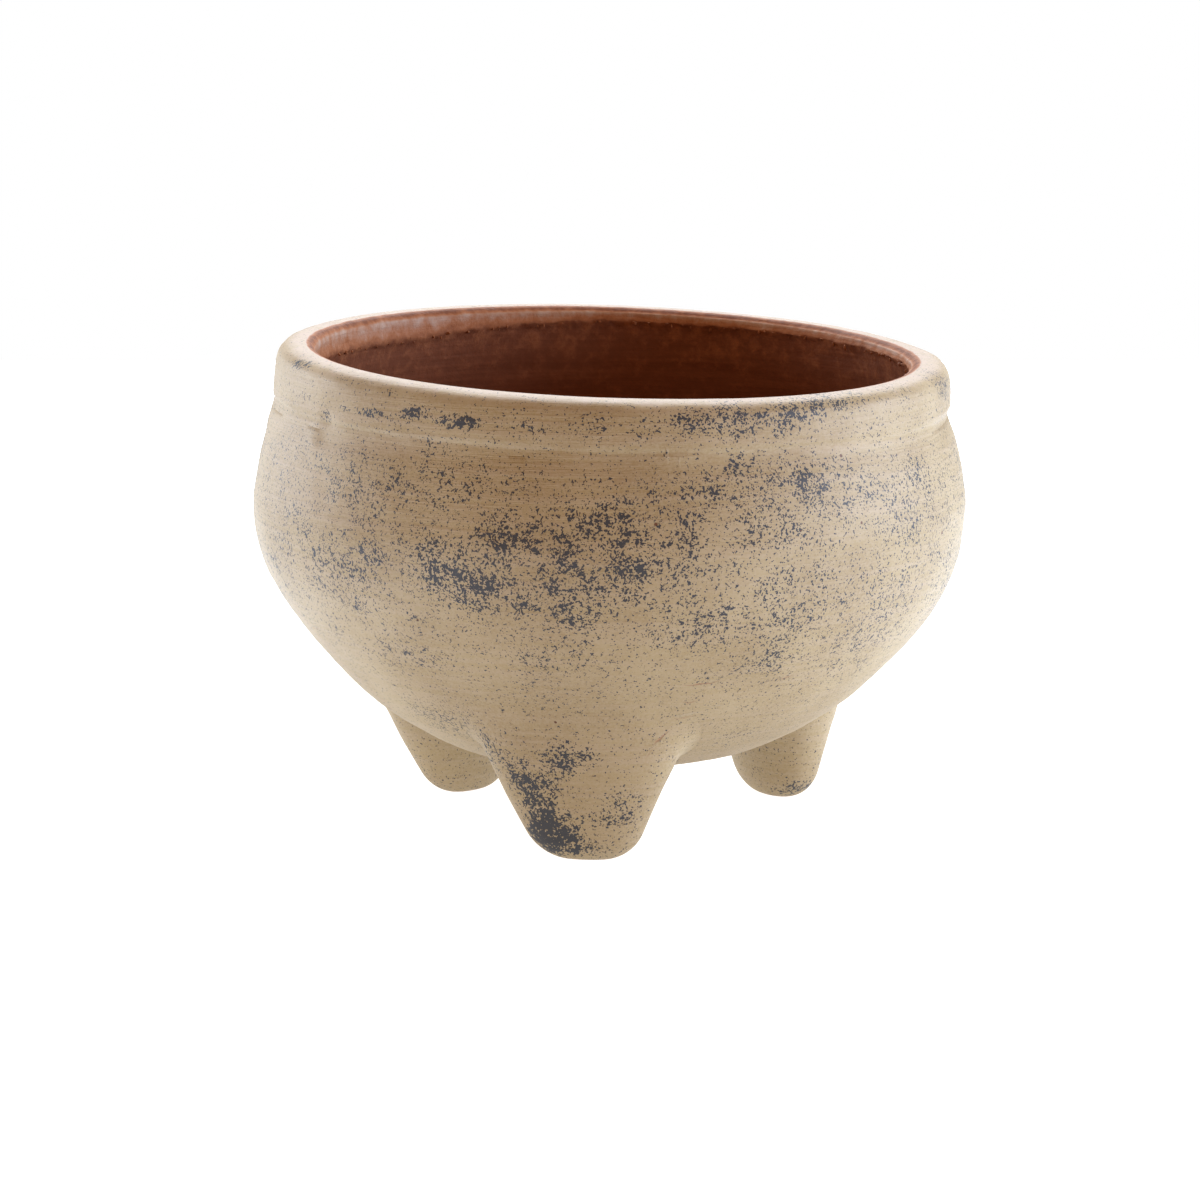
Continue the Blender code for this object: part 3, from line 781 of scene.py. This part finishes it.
def foot_point(foot, turn, half_width, height, spread=0.0):
    """A point of the foot's skin at this height, moved out by spread. Turn 0 is away from the axis."""
    direction, reach, _, flatness, pushed = foot
    outwards = facing(direction)
    sideways = Vector((-outwards.y, outwards.x, 0.0))
    c, s = math.cos(turn), math.sin(turn)
    deep = (half_width * flatness + spread) * math.copysign(abs(c) ** (2 / ROUND), c)
    wide = (half_width + spread) * math.copysign(abs(s) ** (2 / ROUND), s)
    aside = pushed * max(0.0, 1.0 - height / PUSHED_UP_TO) ** 1.5
    return outwards * (reach + deep) + sideways * wide + Vector((aside, 0.0, height))


def flank_point(foot, turn, height, spread=0.0):
    start = tip_profile(foot[2])[-1]
    return foot_point(foot, turn, start.x + (height - start.y) * foot[2], height, spread)


HALVINGS = 18  # enough to find a height to less than a thousandth of a millimetre


def seat_height(foot, turn):
    """The height at which the foot's flank meets the bowl."""
    low, high = 0.0, BELLY_HEIGHT
    for _ in range(HALVINGS):
        height = (low + high) / 2
        if height < underside(flank_point(foot, turn, height)):
            low = height
        else:
            high = height
    return low


# The same hand in the clay for a piece that isn't turned.
worked_piece, given, result = new_tree("worked_piece", "GeometryNodeTree", HAND[:1], HAND[:1])
tree = worked_piece
clay = add(tree, "GeometryNodeGroup", {"Geometry": given["Geometry"]}, node_tree=hand_worked).outputs[0]
clay = add(tree, "GeometryNodeRealizeInstances", {0: clay}).outputs[0]
clay = add(tree, "GeometryNodeSetMaterial", {"Geometry": clay, "Material": sponged_clay}).outputs[0]
feed(tree, result[0], clay)


def skinned(name, rings, joined, slips):
    """A closed mesh over rings of equal count, each with its slip. joined makes a hoop of it."""
    build = bmesh.new()
    rows = [[build.verts.new(point) for point in ring] for ring in rings]
    if joined:
        rows.append(rows[0])
    for low, high in zip(rows, rows[1:]):
        for i in range(len(low)):
            build.faces.new((low[i - 1], low[i], high[i], high[i - 1]))
    if not joined:
        for row in (rows[0], rows[-1]):
            middle = build.verts.new(sum((v.co for v in row), Vector()) / len(row))
            for i in range(len(row)):
                build.faces.new((row[i - 1], row[i], middle))
    mesh = bpy.data.meshes.new(name)
    build.to_mesh(mesh)
    build.free()
    values = [slip for slip in slips for _ in rings[0]]
    if not joined:
        values += [slips[0], slips[-1]]
    store(mesh, "slip", values)
    mesh.materials.append(sponged_clay)
    obj = bpy.data.objects.new(name, mesh)
    bpy.context.scene.collection.objects.link(obj)
    obj.modifiers.new("hand_worked", "NODES").node_group = worked_piece
    return made_plain(obj, name)


turns = [2 * math.pi * i / AROUND_FOOT for i in range(AROUND_FOOT)]
for name, foot in FEET.items():
    seats = [seat_height(foot, turn) - SLIP_FILM for turn in turns]
    rings = []
    slips = []
    for share in (0.35, 0.7):
        rings.append([foot_point(foot, turn, HALF_SOLE * share, 0.0) for turn in turns])
        slips.append(0.15)
    for half_width, height in tip_profile(foot[2]):
        rings.append([foot_point(foot, turn, half_width, height) for turn in turns])
        slips.append(0.75 + 0.25 * min(1.0, height / (1.2 * MM)))
    start = height
    steps = round((min(seats) - start) / FOOT_STEP)
    for i in range(1, steps + 1):
        rings.append([flank_point(foot, turn, start + (top - start) * i / steps)
                      for turn, top in zip(turns, seats)])
        slips.append(1.0)
    top_ring = rings[-1]
    middle = sum(top_ring, Vector()) / len(top_ring)
    for share in (0.85, 0.65, 0.45, 0.25, 0.1):
        ring = [middle.lerp(point, share) for point in top_ring]
        rings.append([Vector((p.x, p.y, underside(p) - SLIP_FILM)) for p in ring])
        slips.append(0.5)
    piece = skinned(name + "_lobed_foot", rings, False, slips)
    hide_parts(name + "_foot")
    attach(piece, "root")


# ---- Luting fillets ------------------------------------------------------------------------------
# A coil of soft clay is pressed into the corner round each foot and smoothed out thin with a wet
# finger, so that the foot seems to grow out of the bowl.

FEATHER = 0.15 * MM  # how far the thinned edges are worked into the clay beside them
FACE_STEPS = 16
# How far each coil is smoothed out: on the whole, and how much more on its widest side, with that
# side's direction round the foot in degrees from outwards.
SMOOTHED_OUT = {
    "front": (6.2 * MM, 3.0 * MM, 0),
    "left": (7.0 * MM, 1.5 * MM, 0),
    "right": (7.0 * MM, 1.5 * MM, 0),
}

for name, foot in FEET.items():
    usual, more, widest = SMOOTHED_OUT[name]
    lines = []
    for turn in turns:
        reach = usual + more * math.cos(turn - math.radians(widest))
        seat_z = seat_height(foot, turn)
        corner = flank_point(foot, turn, seat_z)
        outwards = (flank_point(foot, turn, seat_z, 1.0) - corner).normalized()
        low = flank_point(foot, turn, seat_z - reach, -FEATHER)
        climb = (underside(corner + outwards * reach / 2) - underside(corner)) * 2 / reach
        far = corner + outwards * reach / math.hypot(1.0, climb)
        far.z = underside(far) + FEATHER
        face = interpolate_bezier(low, low.lerp(corner, 2 / 3), far.lerp(corner, 2 / 3), far, FACE_STEPS)
        inner = corner + (outwards - Vector((0, 0, 1))) * FEATHER
        lines.append(face + [far.lerp(inner, 0.65), inner, low.lerp(inner, 0.35)])
    rings = list(zip(*lines))
    piece = skinned(name + "_luting_fillet", rings, True, [1.0] * len(rings))
    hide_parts(name + "_foot_fillet")
    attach(piece, "root")


# ---- Floor, light and camera ---------------------------------------------------------------------
# A white table lit from below, soft lamps on both sides and above, and little light from the front.

FLOOR_HALF = 1.2
FLOOR_FRONT = -0.42
FLOOR_BACK = 1.2
FLOOR_DROP = 0.2 * MM  # under the soles
TABLE_MIDDLE = (1.12, 1.07, 1.02, 1)
TABLE_SIDES = (0.96, 1.08, 1.28, 1)
CAMERA_DISTANCE = 1.3
CAMERA_DEGREES = 9.64
CAMERA_SHIFT = 2.6 * MM
AIMED_AT = 0.45  # of the molcajete's height
LENS = 132

corners = ((-FLOOR_HALF, FLOOR_FRONT), (FLOOR_HALF, FLOOR_FRONT), (FLOOR_HALF, FLOOR_BACK),
           (-FLOOR_HALF, FLOOR_BACK))
floor_mesh = bpy.data.meshes.new("light_table")
floor_mesh.from_pydata([(x, y, -FLOOR_DROP) for x, y in corners], [], [(0, 1, 2, 3)])
floor = bpy.data.objects.new("light_table", floor_mesh)
bpy.context.scene.collection.objects.link(floor)
lit_white = bpy.data.materials.new("lit_white")
lit_white.use_nodes = True
shader = lit_white.node_tree.nodes["Principled BSDF"]
shader.inputs["Base Color"].default_value = (0.3, 0.3, 0.3, 1)
shader.inputs["Roughness"].default_value = 0.9
tree = lit_white.node_tree
x, _, _ = split(tree, add(tree, "ShaderNodeTexCoord").outputs["Object"])
off_middle = maths(tree, "ABSOLUTE", x)
aside = ramp(tree, off_middle, 0.06, 0.20)
feed(tree, shader.inputs["Emission Color"], mix(tree, aside, TABLE_MIDDLE, TABLE_SIDES))
glow = ramp(tree, aside, 0.0, 1.0, 0.60, 1.60)
glow = maths(tree, "MULTIPLY", glow, ramp(tree, off_middle, 0.26, 0.50, 1.0, 0.5))
# Seen from the camera the table is plain white.
seen = add(tree, "ShaderNodeLightPath").outputs["Is Camera Ray"]
glow = maths(tree, "MAXIMUM", glow, seen)
feed(tree, shader.inputs["Emission Strength"], glow)
floor_mesh.materials.append(lit_white)

LIT_PLACE = Vector((0.0, 0.0, 0.07))
# Name, place, width, height, watts and colour of each lamp.
LAMPS = (
    ("left_softbox", (-1.36, 0.72, 0.33), 1.2, 0.6, 11, (0.86, 0.94, 1.06)),
    ("right_softbox", (1.50, -0.10, 0.33), 1.2, 0.6, 20, (0.80, 0.92, 1.12)),
    ("top_softbox", (0.0, 0.95, 1.15), 1.0, 1.0, 19, (0.88, 0.94, 1.0)),
)
for name, place, width, height, watts, colour in LAMPS:
    lamp = bpy.data.lights.new(name, "AREA")
    lamp.shape = "RECTANGLE"
    lamp.size = width
    lamp.size_y = height
    lamp.energy = watts
    lamp.color = colour
    obj = bpy.data.objects.new(name, lamp)
    obj.location = place
    obj.rotation_euler = (LIT_PLACE - Vector(place)).to_track_quat("-Z", "Y").to_euler()
    bpy.context.scene.collection.objects.link(obj)

# A dim warm room in front and a white one behind. The camera sees plain white.
WARM_ROOM = (0.42, 0.24, 0.12, 1)
WHITE = (1, 1, 1, 1)
world = bpy.data.worlds.new("studio")
bpy.context.scene.world = world
world.use_nodes = True
tree = world.node_tree
background = tree.nodes["Background"]
direction = add(tree, "ShaderNodeTexCoord").outputs["Generated"]
_, backwards, _ = split(tree, direction)
room = mix(tree, ramp(tree, backwards, -0.1, 0.4), WARM_ROOM, WHITE)
seen = add(tree, "ShaderNodeLightPath").outputs["Is Camera Ray"]
feed(tree, background.inputs["Color"], mix(tree, seen, room, WHITE))

scene = bpy.context.scene
scene.view_settings.view_transform = "Standard"
camera = bpy.data.objects.new("camera", bpy.data.cameras.new("camera"))
scene.collection.objects.link(camera)
low, high = cad_box
target = Vector(((low.x + high.x) / 2 - CAMERA_SHIFT, 0.0, high.z * AIMED_AT))
pitch = math.radians(CAMERA_DEGREES)
camera.location = target + CAMERA_DISTANCE * Vector((0.0, -1.0, math.tan(pitch)))
camera.rotation_euler = (math.pi / 2 - pitch, 0.0, 0.0)
camera.data.lens = LENS
camera.data.sensor_width = 36
camera.data.clip_start = 0.05
scene.camera = camera
